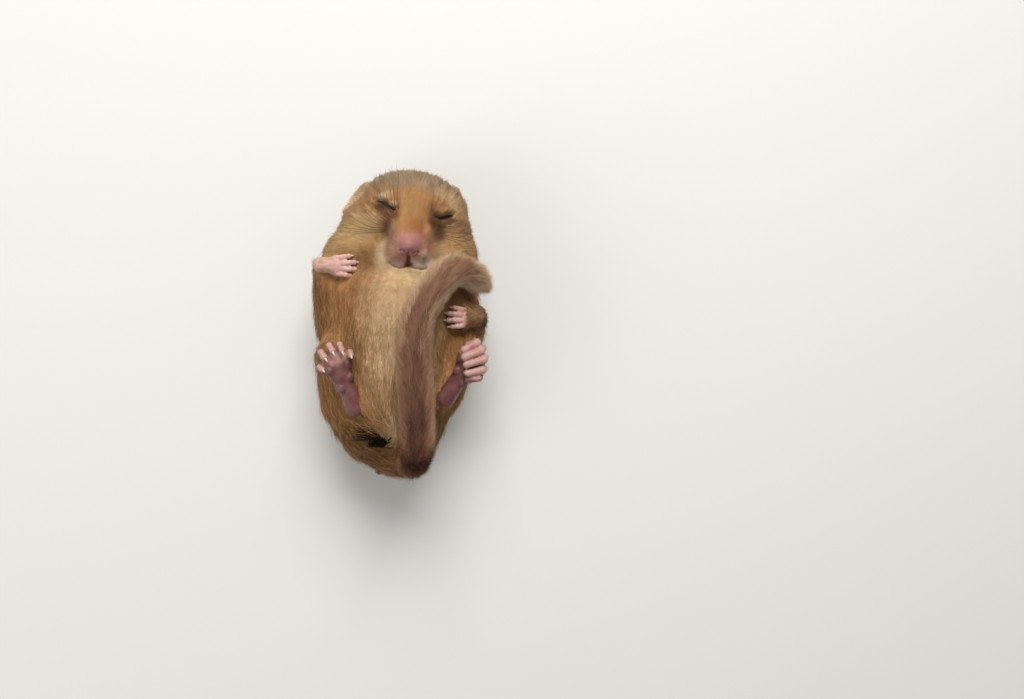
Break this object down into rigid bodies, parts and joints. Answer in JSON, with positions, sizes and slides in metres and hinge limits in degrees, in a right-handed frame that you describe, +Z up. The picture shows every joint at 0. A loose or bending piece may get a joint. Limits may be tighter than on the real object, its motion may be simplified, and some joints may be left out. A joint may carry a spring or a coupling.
{
  "type": "hazel dormouse",
  "caption": "Life-size torpid hazel dormouse lying on its back, head tucked, bushy tail laid up over the belly beside the cheek.",
  "frame": {"origin": "middle of the small flat under the animal's back, on the surface it lies on", "axes": "+Z up out of the belly, +Y towards the head, +X towards the animal's own left side"},
  "size_m": [0.0351, 0.0613, 0.0332],
  "materials": {
    "golden_coat": "soft short golden-brown fur",
    "tail_coat": "bushy darker brown fur",
    "pink_skin": "bare soft pink skin",
    "eyelid_skin": "thin brown eyelid skin"
  },
  "bodies": {
    "root": {"torso": "golden_coat", "neck": "golden_coat", "head": "golden_coat", "lower_jaw": "golden_coat", "nose": "pink_skin", "ear_left": "golden_coat", "ear_right": "golden_coat", "eyelids_left": "eyelid_skin", "eyelids_right": "eyelid_skin", "foreleg_left": "golden_coat", "foreleg_right": "golden_coat", "forepaw_left": "pink_skin", "forepaw_right": "pink_skin", "hind_leg_left": "golden_coat", "hind_leg_right": "golden_coat", "hind_foot_left": "pink_skin", "hind_foot_right": "pink_skin", "tail_base": "tail_coat", "tail_middle": "tail_coat", "tail_end": "tail_coat", "tail_tip": "tail_coat"}
  },
  "joints": []
}
